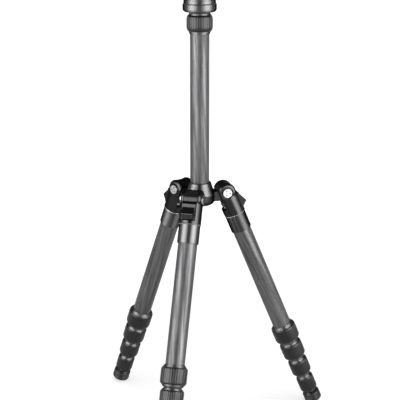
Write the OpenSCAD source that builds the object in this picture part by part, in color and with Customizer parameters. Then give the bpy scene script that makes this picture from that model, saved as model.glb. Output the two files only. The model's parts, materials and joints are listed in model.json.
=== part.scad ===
// Travel tripod with twist locks, reverse folding legs and a small ball head.
// The origin lies on the floor under the column. The front leg points to -Y.

/* [Legs] */
// Angle of a standing leg from straight down, in degrees
leg_spread = 22.8; // [18:0.1:28]
// Radius from the column axis to the leg pivots
pivot_r = 30.2; // [30:0.5:36]
// Distance of the pivot from the leg's own axis, towards the column
leg_offset = 0.8; // [0:0.1:1.2]
// Outer diameter of the top leg tube
leg_tube_d = 22; // [20:0.5:24]
// Difference in diameter from one leg tube to the next
leg_tube_step = 3; // [2.8:0.1:3.4]
// Wall of the leg tubes
leg_tube_wall = 1.15; // [0.9:0.05:1.2]
// Distance from the pivot to the first twist lock
lock_start = 188.2; // [150:0.1:260]
// Length that stays inside the next tube when a section is pulled out
tube_overlap = 30; // [25:1:50]

/* [Leg locks] */
// Length of a twist lock on a leg
lock_len = 25; // [23:0.5:30]
// Thickness of a twist lock over its tube
lock_wall = 4.1; // [3.6:0.1:5]
// Length of the polished cone at each end of a lock
lock_cone = 3; // [2:0.1:4]
// Length over which the sleeve rounds off at its ends
lock_shoulder = 3.4; // [2:0.1:4]
// How far the sleeve draws in at its ends
lock_draw = 1.1; // [0.5:0.1:1.6]
// Number of grooves round a rubber sleeve
lock_grooves = 28; // [12:1:36]

/* [Feet] */
// Diameter of a rubber foot
foot_d = 21; // [18:0.5:24]
// Length of a rubber foot
foot_len = 16; // [14:0.1:22]
// Radius of the domed sole
foot_dome_r = 16; // [13:0.5:24]

/* [Leg heads] */
// Outer diameter of the forked leg head
crown_d = 25.5; // [24.5:0.1:27]
// Radius of the leg head's ears round the pivot
ear_r = 11.1; // [11:0.1:12]
// Width of the leg head across its ears
ear_w = 24.2; // [23.4:0.1:25.4]
// Distance from the leg axis to the leg head's flat inner face
crown_flat = 9.4; // [9:0.1:11]
// Distance from the pivot to the lower end of the leg head
crown_len = 30.4; // [30:0.1:34]
// Width of the fork slot
fork_w = 16.3; // [14:0.1:17]
// Distance from the pivot to the bottom of the fork
fork_depth = 11.6; // [11.6:0.1:12.4]
// Distance from the pivot to the bottom of the latch recess
latch_depth = 26; // [26:0.1:28]
// Diameter of the glossy collar below the leg head
collar_d = 24.5; // [24:0.1:25.2]
// Length of the glossy collar
collar_len = 21; // [14:0.5:30]
// Diameter of the pivot bolt's shank
pivot_bolt_d = 8; // [6:0.5:9]
// Diameter of the pivot bolt's head
bolt_head_d = 11.8; // [11:0.1:13]
// Height of the pivot bolt's head
bolt_head_h = 2.6; // [2:0.1:3.5]

/* [Angle latch] */
// How far the latch pulls out of the leg head
latch_travel = 2.5; // [2:0.5:5]
// Distance from the pivot to the latch's upper edge
latch_top = 7.4; // [7.2:0.1:9]
// Distance from the leg axis to the latch's flat face
latch_face = 12.6; // [12.2:0.1:13]
// Distance from the leg axis to the tip of the finger tab
latch_tip = 17.5; // [15:0.1:19]

/* [Hub] */
// Radius of the lug on each arm
lug_r = 10.4; // [9.8:0.1:10.6]
// Radius of the hub's bowl
bowl_r = 17.7; // [16.5:0.1:17.9]
// Height of the bowl's rim below the pivots
bowl_rim = 1.8; // [1:0.1:3]
// Depth of the hub's underside below the pivots
bowl_depth = 13.7; // [13.2:0.1:16]
// Height of the arm's top face over the pivots
arm_top = 1.4; // [0.5:0.1:2.5]
// Depth of the arm's underside below the pivots
arm_low = 9.8; // [9:0.1:10.2]
// Height of the neck collar over the pivots
neck_top = 12.7; // [10:0.1:14]
// Radius of the neck collar at its top
neck_top_r = 13.1; // [12:0.1:13.8]
// Radius of the neck collar halfway up, where its flare begins
neck_mid_r = 15.2; // [14:0.1:16]

/* [Column] */
// Outer diameter of the column tube
column_d = 22; // [20:0.5:23]
// Wall of the column tubes
column_wall = 1.15; // [0.9:0.05:1.2]
// Outer diameter of the inner column
inner_column_d = 19; // [17:0.1:19]
// Height of the column lock's lower end over the pivots
column_lock_z = 184.6; // [150:0.1:240]
// Length of the column lock
column_lock_len = 24.1; // [20:0.1:28]
// Diameter of the column lock
column_lock_d = 30; // [27.5:0.1:31]
// Length over which the column lock's sleeve rounds off
column_lock_shoulder = 7; // [4:0.1:8]
// How far the column lock's sleeve draws in at its ends
column_lock_draw = 1.9; // [1:0.1:3]
// How far the inner column pulls out
column_travel = 140; // [80:5:150]

/* [Platform] */
// Diameter of the platform disc
platform_d = 38.4; // [36:0.1:42]
// Thickness of the platform disc
platform_h = 8.6; // [8:0.1:11]
// Diameter of the stud that holds the head
stud_d = 9.5; // [6:0.1:10]
// Height of the stud over the disc
stud_h = 7; // [5:0.5:8]

/* [Ball head] */
// Diameter of the head's base ring
head_base_d = 36.4; // [34:0.1:38]
// Height of the head's base ring
head_base_h = 8; // [8:0.1:10]
// Diameter of the head's body
head_body_d = 34.4; // [33:0.1:35]
// Height of the head's body
head_body_h = 30; // [29:0.5:32]
// Diameter of the ball
ball_d = 25; // [22:0.5:25]
// Height of the ball's centre over the bottom of the body
ball_z = 23; // [22:0.5:24]
// Diameter of the ball's stem
stem_d = 10; // [8:0.5:11]
// Direction of the notch that the stem drops into, in degrees
notch_az = 150; // [140:1:160]
// Diameter of the ball lock knob
ball_knob_d = 18; // [14:0.5:20]
// Length of the ball lock knob
ball_knob_len = 12; // [10:0.5:13]
// Diameter of the pan lock knob
pan_knob_d = 9.4; // [8:0.1:10]
// Length of the pan lock knob
pan_knob_len = 9; // [7:0.5:10]

/* [Camera clamp] */
// Width of the clamp across its jaws
clamp_w = 38; // [36:0.5:40]
// Length of the clamp along the plate
clamp_l = 36; // [32:0.5:38]
// Height of the clamp
clamp_h = 12; // [11:0.1:13]
// Width of the camera plate over its dovetail
plate_w = 38; // [36:0.5:39]
// Length of the camera plate
plate_l = 38; // [36:0.5:40]
// Thickness of the camera plate over its dovetail
plate_h = 5; // [4.5:0.1:6]
// Diameter of the camera screw
screw_d = 6.35; // [6:0.01:6.5]
// Height of the camera screw over the plate
screw_h = 5.2; // [4.5:0.1:6]

/* [Hidden] */
$fn = 64;
// Directions of the legs round the column
front_az = -90;
right_az = 30;
left_az = 150;
// Clearances: a turning or sliding fit, a gap between free pieces, and the overrun of a cut
fit = 0.05;
gap = 0.3;
over = 1;
// Tubes in a leg, and steps of a rounded outline
sections = 5;
steps = 4;

// Leg sizes that follow from the above
lock_pitch = lock_len + gap;
foot_end = lock_start + (sections - 1) * lock_pitch + foot_len;
pivot_h = (foot_end - foot_dome_r) * cos(leg_spread) + foot_dome_r;
crown_r = crown_d / 2;
crown_round = 3.6;
ear_blend_up = 3;
ear_blend_down = 6;
crown_flat_end = 20.5;
crown_foot_flat = 12;
crown_foot_at = 27;
crown_bead = 0.9;
crown_bead_out = 0.25;
spigot_len = 8;
tube_top_gap = 1.6;
lock_lip = 7;
tube_seat = lock_len - lock_lip;
lip_r_out = 0.8;
sleeve_rise = 0.3;
groove_w = 1.1;
groove_depth = 0.5;
foot_neck_r = 8.6;
foot_neck_len = 1.2;
foot_shoulder = 1.6;
foot_floor = 6;
ear_seat = 1.1;
ear_seat_clear = 1;
screw_at = 16.4;
screw_side = 6.9;
screw_shank_r = 1;
screw_shank_len = 5;
screw_head_r = 1.5;
screw_head_h = 1.4;
screw_head_out = 0.6;
hex_r = 0.8;
hex_depth = 0.8;
recess_in = 7.6;
latch_flat_end = 12.4;
latch_tip_at = 20.2;
latch_foot_at = 25.4;
latch_foot_out = 11.4;
pawl_clear = 1.2;
latch_pawl = lug_r - leg_offset + pawl_clear - latch_travel;
latch_slope_at = 11.4;
latch_slope_out = 14.2;
latch_brow_at = 12.4;
latch_side = 0.9;
latch_rib = 0.7;
latch_ribs = 3;
tooth_angle = 13;
tooth_count = 7;
tooth_w = 1;
tooth_depth = 0.8;

// Hub, column and platform sizes that follow from the above
column_r = column_d / 2;
column_seat = 11.6;
plug_r = 7.5;
plug_h = 7;
plug_hex_r = 3.4;
plug_hex_depth = 3;
lug_play = 0.32;
lug_w = fork_w - 2 * lug_play;
bowl_round = 5.6;
bowl_low_r = 12.2;
neck_lip = 1;
neck_mid_z = 5.8;
pin_r = 0.7;
pin_pcr = 2.7;
column_lip = 3.5;
column_top = column_lock_z + column_lock_len - column_lip;
lock_top = column_lock_z + column_lock_len;
inner_bottom = column_top - tube_overlap - column_travel;
platform_z = lock_top + gap;
platform_socket = 5;
platform_round = 3.4;
head_z = platform_z + platform_h;
head_groove_z = 4.6;
head_groove_h = 0.7;
head_groove_in = 0.5;
grub_r = 1.5;
grub_z = 2;
grub_depth = 4;
grub_az = -74.6;
body_z = head_z + head_base_h + gap;
body_r = head_body_d / 2;
ball_r = ball_d / 2;
ball_c = body_z + ball_z;
body_edge = 1.4;
ball_mouth_r = 11;
root_relief = 0.6;
knob_boss_r = 7;
knob_boss_out = 1;
knob_stem_r = 3;
knob_stem_in = 4;
pan_boss_r = 4;
pan_stem_r = 2;
pan_z = 5.4;
ball_knob_z = 15;
pan_knob_turn = -60;
knob_edge = 1;
knob_flute_r = 1.6;
knob_flutes = 12;
clamp_lift = 1.4;
stem_len = body_r + clamp_lift;
clamp_z = ball_c + stem_len;
dove_wall = 3;
dove_lip = 2.5;
dove_low = clamp_w - 2 * dove_wall;
dove_top = dove_low - 2 * dove_lip;
jaw_in = 2.5;
jaw_w = dove_wall + dove_lip + jaw_in;
jaw_gap = 0.8;
dove_h = 4.4;
dove_floor = 6.8;
clamp_edge = 1.5;
clamp_rod_r = 2.4;
clamp_rod_z = 3.6;
clamp_knob_d = 14;
clamp_knob_len = 8.6;
plate_edge = 2;
plate_z = clamp_z + clamp_h + gap;
plate_slot_w = 7;
screw_head_low_r = 6.4;
screw_head_low_h = 2.6;
screw_neck_r = 2.5;
screw_show = 0.2;
coin_slot_w = 1.4;
coin_slot_depth = 1.2;
thread_clear = 0.25;

function tube_r(i) = (leg_tube_d - (i - 1) * leg_tube_step) / 2;
function lock_at(i) = lock_start + (i - 1) * lock_pitch;
function tube_low(i) = i == sections ? lock_at(sections) + foot_len - foot_floor : lock_at(i) + tube_seat;
function tube_high(i) = i == 1 ? crown_len : crown_len + spigot_len + (i - 1) * tube_top_gap;
// Points from (r0, z0) to (r1, z1) on a quarter of an ellipse that leaves along z and ends along r
function bulge(r0, z0, r1, z1) = [for (k = [0:steps])
    [r0 + (r1 - r0) * sin(90 * k / steps), z0 + (z1 - z0) * (1 - cos(90 * k / steps))]];
function turn_over(points, length) = [for (k = [len(points) - 1:-1:0])
    [points[k][0], length - points[k][1]]];

// Frame of a leg: z runs down the leg's axis from beside the pivot, x points to the column's side
module on_leg(az) {
    rotate([0, 0, az])
        translate([pivot_r, 0, pivot_h])
            rotate([0, 180 - leg_spread, 0])
                translate([-leg_offset, 0, 0])
                    children();
}

module at_pivots() {
    translate([0, 0, pivot_h])
        children();
}

module pipe(r_out, r_in, z0, z1) {
    difference() {
        translate([0, 0, z0])
            cylinder(r = r_out, h = z1 - z0);
        translate([0, 0, z0 - over])
            cylinder(r = r_in, h = z1 - z0 + 2 * over);
    }
}

// A block from low corner to high corner
module block(low, high) {
    translate(low)
        cube(high - low);
}

// Twist lock: polished cones at both ends and a grooved rubber grip between them
module lock_shape(length, seat, r_tube, r_out, r_in_far, shoulder, draw) {
    cone_r = r_out - draw - sleeve_rise;
    end = [[r_tube + lip_r_out, 0], [cone_r, lock_cone]];
    grip = bulge(cone_r + sleeve_rise, lock_cone, r_out, lock_cone + shoulder);
    outer = concat(end, grip, turn_over(grip, length), turn_over(end, length));
    difference() {
        rotate_extrude()
            polygon(concat([[0, 0]], outer, [[0, length]]));
        translate([0, 0, -over])
            cylinder(r = r_tube + fit, h = over + seat + gap);
        cylinder(r = r_in_far, h = length + over);
        for (k = [0:lock_grooves - 1])
            rotate([0, 0, 360 * k / lock_grooves])
                block([r_out - groove_depth, -groove_w / 2, lock_cone + sleeve_rise],
                    [r_out + over, groove_w / 2, length - lock_cone - sleeve_rise]);
    }
}

module leg_lock(az, i) {
    color([0.13, 0.13, 0.14])
        on_leg(az)
            translate([0, 0, lock_at(i)])
                lock_shape(lock_len, tube_seat, tube_r(i), tube_r(i) + lock_wall,
                    tube_r(i + 1) + fit, lock_shoulder, lock_draw);
}

module leg_tube(az, i) {
    color([0.34, 0.34, 0.36])
        on_leg(az)
            pipe(tube_r(i), tube_r(i) - leg_tube_wall, tube_high(i), tube_low(i));
}

module foot(az) {
    r = foot_d / 2;
    z1 = foot_len;
    sole = asin(r / foot_dome_r);
    color([0.12, 0.12, 0.12])
        on_leg(az)
            translate([0, 0, lock_at(sections)])
                difference() {
                    rotate_extrude()
                        polygon(concat([[0, 0], [foot_neck_r, 0], [foot_neck_r, foot_neck_len]],
                            bulge(r - foot_shoulder, foot_neck_len, r, foot_neck_len + foot_shoulder),
                            [for (k = [0:2 * steps])
                                [foot_dome_r * sin(sole * (1 - k / (2 * steps))),
                                    z1 - foot_dome_r + foot_dome_r * cos(sole * (1 - k / (2 * steps)))]]));
                    translate([0, 0, -over])
                        cylinder(r = tube_r(sections) + fit, h = over + foot_len - foot_floor);
                }
}

// Barrel of the two ears round the pivot bolt, before the fork is cut
module ears() {
    round_off = bulge(ear_r - crown_round, 0, ear_r, crown_round);
    translate([leg_offset, ear_w / 2, 0])
        rotate([90, 0, 0])
            rotate_extrude()
                polygon(concat([[0, 0]], round_off, turn_over(round_off, ear_w), [[0, ear_w]]));
}

// Forked head of a leg, turning on the pivot bolt
module crown(az) {
    side = fork_w / 2;
    color([0.2, 0.2, 0.21])
        on_leg(az)
            difference() {
                union() {
                    ears();
                    rotate_extrude()
                        polygon([[0, -ear_blend_up], [ear_r - crown_round / 2, -ear_blend_up],
                            [crown_r, ear_blend_down], [crown_r, crown_len - crown_bead],
                            [crown_r + crown_bead_out, crown_len - crown_bead / 2],
                            [crown_r - crown_bead_out, crown_len],
                            [tube_r(1) - leg_tube_wall - fit, crown_len],
                            [tube_r(1) - leg_tube_wall - fit, crown_len + spigot_len],
                            [0, crown_len + spigot_len]]);
                }
                block([-2 * crown_r, -side, -2 * crown_r], [2 * crown_r, side, fork_depth]);
                block([-2 * crown_r, -side, 0], [-recess_in, side, latch_depth]);
                block([crown_flat, -2 * crown_r, -2 * crown_r], [2 * crown_r, 2 * crown_r, crown_flat_end]);
                block([crown_foot_flat, -2 * crown_r, crown_foot_at],
                    [2 * crown_r, 2 * crown_r, crown_len + over]);
                translate([leg_offset, 2 * crown_r, 0])
                    rotate([90, 0, 0])
                        cylinder(r = pivot_bolt_d / 2 + fit, h = 4 * crown_r);
                for (s = [-1, 1])
                    translate([leg_offset, s * (ear_w / 2 - ear_seat), 0])
                        rotate([-90 * s, 0, 0])
                            cylinder(r = bolt_head_d / 2 + ear_seat_clear, h = crown_r);
                for (s = [-1, 1])
                    at_screw(s) {
                        translate([0, 0, screw_head_out - screw_head_h])
                            cylinder(r = screw_head_r + fit, h = crown_r);
                        translate([0, 0, -screw_shank_len])
                            cylinder(r = screw_shank_r + fit, h = crown_r);
                    }
            }
}

// Place of a screw on the flat inner face, on side s
module at_screw(s) {
    translate([crown_flat, s * screw_side, screw_at])
        rotate([0, 90, 0])
            children();
}

module collar(az) {
    color([0.08, 0.08, 0.09])
        on_leg(az)
            pipe(collar_d / 2, tube_r(1) + fit, crown_len, crown_len + collar_len);
}

// The two screws on the flat inner face of a leg head
module clamp_screws(az) {
    color([0.75, 0.75, 0.76])
        on_leg(az)
            for (s = [-1, 1])
                at_screw(s)
                    difference() {
                        union() {
                            translate([0, 0, screw_head_out - screw_head_h])
                                cylinder(r = screw_head_r, h = screw_head_h);
                            translate([0, 0, gap - screw_shank_len])
                                cylinder(r = screw_shank_r, h = screw_shank_len);
                        }
                        translate([0, 0, screw_head_out - hex_depth])
                            cylinder(r = hex_r, h = screw_head_h, $fn = 6);
                    }
}

// Spring latch that sets the leg's angle: it slides out of its recess
module latch(az) {
    side = fork_w / 2 - gap;
    rib_run = (latch_foot_at - latch_tip_at) / (latch_ribs + 1);
    rib_rise = (latch_tip - latch_foot_out) / (latch_ribs + 1);
    color([0.3, 0.3, 0.31])
        on_leg(az)
            rotate([90, 0, 0])
                difference() {
                    union() {
                        translate([0, 0, -side])
                            linear_extrude(2 * side)
                                polygon([[-latch_face, latch_top], [-latch_pawl, latch_top],
                                    [-latch_pawl, latch_flat_end],
                                    [-recess_in - gap, latch_flat_end + gap],
                                    [-recess_in - gap, latch_depth - gap],
                                    [-latch_foot_out, latch_foot_at],
                                    [-latch_face, latch_tip_at]]);
                        translate([0, 0, latch_side - side])
                            linear_extrude(2 * (side - latch_side))
                                polygon([[-latch_face, latch_top + latch_side],
                                    [-latch_face, latch_slope_at], [-latch_slope_out, latch_brow_at],
                                    [-latch_tip, latch_tip_at - latch_side],
                                    [-latch_tip, latch_tip_at], [-latch_foot_out, latch_foot_at],
                                    [-latch_pawl, latch_foot_at], [-latch_pawl, latch_top + latch_side]]);
                    }
                    for (k = [1:latch_ribs])
                        translate([-latch_tip + k * rib_rise, latch_tip_at + k * rib_run, -2 * side])
                            cylinder(r = latch_rib / 2, h = 4 * side);
                }
}

// Casting that carries the column and the three leg lugs
module hub() {
    color([0.25, 0.25, 0.26])
        at_pivots()
            difference() {
                union() {
                    rotate_extrude()
                        polygon(concat([[0, -bowl_rim], [bowl_r, -bowl_rim]],
                            [for (k = [0:steps])
                                [bowl_low_r + (bowl_r - bowl_low_r) * cos(90 * k / steps),
                                    -bowl_depth + bowl_round * (1 - sin(90 * k / steps))]],
                            [[0, -bowl_depth]]));
                    for (az = [front_az, right_az, left_az])
                        rotate([0, 0, az])
                            rotate([90, 0, 0])
                                translate([0, 0, -lug_w / 2])
                                    linear_extrude(lug_w)
                                        union() {
                                            translate([pivot_r, 0])
                                                circle(r = lug_r);
                                            polygon([[column_r + fit, -bowl_rim], [bowl_r, arm_top],
                                                [pivot_r, arm_top], [pivot_r, -lug_r],
                                                [pivot_r - lug_r / 2, -arm_low], [column_r + fit, -arm_low]]);
                                        }
                }
                translate([0, 0, -column_seat])
                    cylinder(r = column_r + fit, h = column_seat + 2 * lug_r);
                translate([0, 0, -2 * bowl_depth])
                    cylinder(r = plug_r + fit, h = 2 * bowl_depth);
                for (az = [front_az, right_az, left_az])
                    rotate([0, 0, az])
                        translate([pivot_r, 0, 0])
                            rotate([90, 0, 0])
                                translate([0, 0, -lug_w])
                                    cylinder(r = pivot_bolt_d / 2 + fit, h = 2 * lug_w);
                for (az = [front_az, right_az, left_az], k = [0:tooth_count - 1])
                    rotate([0, 0, az])
                        translate([pivot_r, 0, 0])
                            rotate([0, -k * tooth_angle, 0])
                                block([lug_r - tooth_depth, -lug_w, -tooth_w / 2],
                                    [lug_r + over, lug_w, tooth_w / 2]);
            }
}

// Polished cone that clamps the column tube in the hub
module neck_collar() {
    color([0.1, 0.1, 0.11])
        at_pivots()
            difference() {
                rotate_extrude()
                    polygon([[column_r + fit, gap - bowl_rim], [bowl_r, gap - bowl_rim],
                        [bowl_r, neck_lip - bowl_rim], [neck_mid_r, neck_mid_z],
                        [neck_top_r, neck_top - neck_lip / 2], [neck_top_r - neck_lip / 2, neck_top],
                        [column_r + fit, neck_top]]);
                for (az = [front_az, right_az, left_az])
                    rotate([0, 0, az])
                        block([column_r, -lug_w / 2 - gap, -bowl_rim],
                            [bowl_r + over, lug_w / 2 + gap, arm_top + gap]);
            }
}

// The three pivot bolts, each with a pin-spanner head at both ends
module pivot_bolts() {
    half = ear_w / 2 - ear_seat + fit;
    color([0.85, 0.85, 0.86])
        at_pivots()
            for (az = [front_az, right_az, left_az])
                rotate([0, 0, az])
                    translate([pivot_r, 0, 0])
                        rotate([90, 0, 0])
                            difference() {
                                union() {
                                    translate([0, 0, -half])
                                        cylinder(r = pivot_bolt_d / 2, h = 2 * half);
                                    for (s = [0, 180])
                                        rotate([s, 0, 0])
                                            translate([0, 0, half])
                                                cylinder(r1 = bolt_head_d / 2,
                                                    r2 = bolt_head_d / 2 - bolt_head_h / 4,
                                                    h = bolt_head_h);
                                }
                                for (s = [0, 180], k = [0:2])
                                    rotate([s, 0, 0])
                                        rotate([0, 0, 120 * k])
                                            translate([pin_pcr, 0, half + bolt_head_h / 2])
                                                cylinder(r = pin_r, h = bolt_head_h);
                            }
}

module column_tube() {
    color([0.34, 0.34, 0.36])
        at_pivots()
            pipe(column_r, column_r - column_wall, -column_seat, column_top);
}

// Plug that closes the column under the hub
module column_plug() {
    color([0.12, 0.12, 0.12])
        at_pivots()
            difference() {
                union() {
                    translate([0, 0, -bowl_depth])
                        cylinder(r = plug_r, h = bowl_depth - column_seat + plug_h);
                    translate([0, 0, -column_seat])
                        cylinder(r = column_r - column_wall - fit, h = plug_h);
                }
                translate([0, 0, -bowl_depth - over])
                    cylinder(r = plug_hex_r, h = over + plug_hex_depth, $fn = 6);
            }
}

module column_lock() {
    color([0.13, 0.13, 0.14])
        at_pivots()
            translate([0, 0, column_lock_z])
                lock_shape(column_lock_len, column_lock_len - column_lip, column_r, column_lock_d / 2,
                    inner_column_d / 2 + fit, column_lock_shoulder, column_lock_draw);
}

module inner_column() {
    color([0.34, 0.34, 0.36])
        at_pivots()
            pipe(inner_column_d / 2, inner_column_d / 2 - column_wall, inner_bottom,
                platform_z + platform_socket);
}

// Disc on top of the inner column, with the stud for the head
module platform() {
    color([0.15, 0.15, 0.16])
        at_pivots()
            difference() {
                union() {
                    translate([0, 0, platform_z])
                        rotate_extrude()
                            polygon(concat([[0, 0]],
                                bulge(platform_d / 2 - platform_round, 0, platform_d / 2, platform_round),
                                [[platform_d / 2, platform_h], [0, platform_h]]));
                    translate([0, 0, head_z])
                        cylinder(r = stud_d / 2, h = stud_h);
                }
                translate([0, 0, platform_z - over])
                    cylinder(r = inner_column_d / 2 + fit, h = over + platform_socket);
            }
}

module head_base() {
    r = head_base_d / 2;
    color([0.15, 0.15, 0.16])
        at_pivots()
            translate([0, 0, head_z])
                difference() {
                    rotate_extrude()
                        polygon([[0, 0], [r, 0], [r, head_groove_z], [r - head_groove_in, head_groove_z],
                            [r - head_groove_in, head_groove_z + head_groove_h],
                            [r, head_groove_z + head_groove_h], [r, head_base_h - head_groove_in],
                            [r - head_groove_in, head_base_h], [0, head_base_h]]);
                    translate([0, 0, -over])
                        cylinder(r = stud_d / 2 + fit, h = over + stud_h + gap);
                    rotate([0, 0, grub_az])
                        translate([r - grub_depth, 0, grub_z])
                            rotate([0, 90, 0])
                                cylinder(r = grub_r, h = grub_depth + over);
                }
}

// Housing of the ball, with a notch that lets the stem drop to level
module head_body() {
    color([0.15, 0.15, 0.16])
        at_pivots()
            translate([0, 0, body_z])
                difference() {
                    union() {
                        rotate_extrude()
                            polygon([[0, 0], [body_r, 0], [body_r, head_body_h - 2 * body_edge],
                                [body_r - body_edge, head_body_h - body_edge / 2],
                                [body_r - 2 * body_edge, head_body_h], [0, head_body_h]]);
                        rotate([0, 0, notch_az + 180])
                            translate([0, 0, ball_knob_z])
                                rotate([0, 90, 0])
                                    cylinder(r = knob_boss_r, h = body_r + knob_boss_out);
                        rotate([0, 0, notch_az + pan_knob_turn])
                            translate([0, 0, pan_z])
                                rotate([0, 90, 0])
                                    cylinder(r = pan_boss_r, h = body_r + knob_boss_out);
                    }
                    translate([0, 0, ball_z])
                        sphere(r = ball_r + gap);
                    translate([0, 0, ball_z])
                        cylinder(r = ball_mouth_r, h = head_body_h);
                    rotate([0, 0, notch_az]) {
                        translate([0, 0, ball_z])
                            rotate([0, 90, 0])
                                cylinder(r = stem_d / 2 + 2 * gap, h = 2 * body_r);
                        intersection() {
                            translate([0, stem_d / 2 + 2 * gap, ball_z])
                                rotate([90, 0, 0])
                                    cylinder(r = ball_r + gap + root_relief, h = stem_d + 4 * gap);
                            block([-2 * body_r, -stem_d, ball_z], [0, stem_d, 2 * head_body_h]);
                        }
                        block([0, -stem_d / 2 - 2 * gap, ball_z], [2 * body_r, stem_d / 2 + 2 * gap, 2 * head_body_h]);
                    }
                    rotate([0, 0, notch_az + 180])
                        translate([body_r + knob_boss_out - knob_stem_in, 0, ball_knob_z])
                            rotate([0, 90, 0])
                                cylinder(r = knob_stem_r + fit, h = body_r);
                    rotate([0, 0, notch_az + pan_knob_turn])
                        translate([body_r + knob_boss_out - knob_stem_in, 0, pan_z])
                            rotate([0, 90, 0])
                                cylinder(r = pan_stem_r + fit, h = body_r);
                }
}

module ball() {
    color([0.7, 0.7, 0.72])
        at_pivots()
            union() {
                translate([0, 0, ball_c])
                    sphere(r = ball_r);
                translate([0, 0, ball_c])
                    cylinder(r = stem_d / 2, h = stem_len);
            }
}

// Fluted knob on a stem: its axis is +Z and its stem points down
module knob_shape(d, length, stem_r, stem_in, flutes) {
    r = d / 2;
    difference() {
        union() {
            rotate_extrude()
                polygon([[0, 0], [r - knob_edge, 0], [r, knob_edge], [r, length - knob_edge],
                    [r - knob_edge, length], [0, length]]);
            translate([0, 0, -stem_in])
                cylinder(r = stem_r, h = stem_in);
        }
        for (k = [0:flutes - 1])
            rotate([0, 0, 360 * k / flutes])
                translate([r + knob_flute_r / 2, 0, -over])
                    cylinder(r = knob_flute_r, h = length + 2 * over);
    }
}

module ball_knob() {
    color([0.1, 0.1, 0.1])
        at_pivots()
            rotate([0, 0, notch_az + 180])
                translate([body_r + knob_boss_out + gap, 0, body_z + ball_knob_z])
                    rotate([0, 90, 0])
                        knob_shape(ball_knob_d, ball_knob_len, knob_stem_r, knob_stem_in, knob_flutes);
}

module pan_knob() {
    color([0.1, 0.1, 0.1])
        at_pivots()
            rotate([0, 0, notch_az + pan_knob_turn])
                translate([body_r + knob_boss_out + gap, 0, body_z + pan_z])
                    rotate([0, 90, 0])
                        knob_shape(pan_knob_d, pan_knob_len, pan_stem_r, knob_stem_in, knob_flutes / 2);
}

// Clamp frame: x runs across the jaws, towards the moving jaw and its knob
module on_clamp() {
    at_pivots()
        rotate([0, 0, notch_az + 90])
            translate([0, 0, clamp_z])
                children();
}

// Dovetail of the plate or, with a larger clearance, of the groove it sits in
module dovetail(length, c) {
    rotate([90, 0, 0])
        translate([0, 0, -length / 2])
            linear_extrude(length)
                polygon([[-dove_low / 2 - c, dove_floor], [dove_low / 2 + c, dove_floor],
                    [dove_low / 2 + c, dove_floor + dove_h / 3],
                    [dove_top / 2 + c, dove_floor + dove_h + 2 * over],
                    [-dove_top / 2 - c, dove_floor + dove_h + 2 * over],
                    [-dove_low / 2 - c, dove_floor + dove_h / 3]]);
}

module clamp_base() {
    x0 = -clamp_w / 2;
    x1 = clamp_w / 2 - jaw_w;
    color([0.15, 0.15, 0.16])
        on_clamp()
            difference() {
                block([x0, -clamp_l / 2, 0], [x1, clamp_l / 2, clamp_h]);
                dovetail(2 * clamp_l, gap);
                translate([x0 - over, 0, clamp_rod_z])
                    rotate([0, 90, 0])
                        cylinder(r = clamp_rod_r + fit, h = 2 * clamp_w);
            }
}

module clamp_jaw() {
    x0 = clamp_w / 2 - jaw_w + jaw_gap;
    color([0.15, 0.15, 0.16])
        on_clamp()
            difference() {
                block([x0, -clamp_l / 2, 0], [clamp_w / 2, clamp_l / 2, clamp_h]);
                dovetail(2 * clamp_l, gap);
                translate([-clamp_w, 0, clamp_rod_z])
                    rotate([0, 90, 0])
                        cylinder(r = clamp_rod_r + fit, h = 2 * clamp_w);
            }
}

module clamp_knob() {
    color([0.1, 0.1, 0.1])
        on_clamp()
            translate([clamp_w / 2 + gap, 0, clamp_rod_z])
                rotate([0, 90, 0])
                    knob_shape(clamp_knob_d, clamp_knob_len, clamp_rod_r, clamp_w / 2, knob_flutes);
}

module camera_plate() {
    color([0.13, 0.13, 0.14])
        on_clamp()
            difference() {
                union() {
                    intersection() {
                        dovetail(plate_l, 0);
                        block([-clamp_w, -clamp_w, 0], [clamp_w, clamp_w, clamp_h + gap + over]);
                    }
                    block([-plate_w / 2, -plate_l / 2, clamp_h + gap],
                        [plate_w / 2, plate_l / 2, clamp_h + gap + plate_h]);
                }
                cylinder(r = screw_head_low_r + gap, h = dove_floor + screw_head_low_h + gap);
                cylinder(r = screw_d / 2 + thread_clear, h = 2 * clamp_w);
            }
}

module camera_screw() {
    top = clamp_h + gap + plate_h + screw_h;
    color([0.8, 0.8, 0.8])
        on_clamp()
            difference() {
                union() {
                    translate([0, 0, dove_floor])
                        cylinder(r = screw_head_low_r, h = screw_head_low_h);
                    translate([0, 0, dove_floor])
                        cylinder(r = screw_neck_r, h = top - dove_floor - gap);
                    translate([0, 0, top - screw_h + screw_show])
                        cylinder(r = screw_d / 2, h = screw_h - screw_show);
                }
                block([-2 * screw_head_low_r, -coin_slot_w / 2, dove_floor - over],
                    [2 * screw_head_low_r, coin_slot_w / 2, dove_floor + coin_slot_depth]);
            }
}

hub();
neck_collar();
pivot_bolts();
column_tube();
column_plug();
column_lock();
inner_column();
platform();
head_base();
head_body();
ball();
ball_knob();
pan_knob();
clamp_base();
clamp_jaw();
clamp_knob();
camera_plate();
camera_screw();
crown(front_az);  // front_crown
collar(front_az);  // front_collar
latch(front_az);  // front_latch
clamp_screws(front_az);  // front_screw
leg_tube(front_az, 1);  // front_tube1
leg_tube(front_az, 2);  // front_tube2
leg_tube(front_az, 3);  // front_tube3
leg_tube(front_az, 4);  // front_tube4
leg_tube(front_az, sections);  // front_tube5
leg_lock(front_az, 1);  // front_lock1
leg_lock(front_az, 2);  // front_lock2
leg_lock(front_az, 3);  // front_lock3
leg_lock(front_az, 4);  // front_lock4
foot(front_az);  // front_foot
crown(right_az);  // right_crown
collar(right_az);  // right_collar
latch(right_az);  // right_latch
clamp_screws(right_az);  // right_screw
leg_tube(right_az, 1);  // right_tube1
leg_tube(right_az, 2);  // right_tube2
leg_tube(right_az, 3);  // right_tube3
leg_tube(right_az, 4);  // right_tube4
leg_tube(right_az, sections);  // right_tube5
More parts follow.
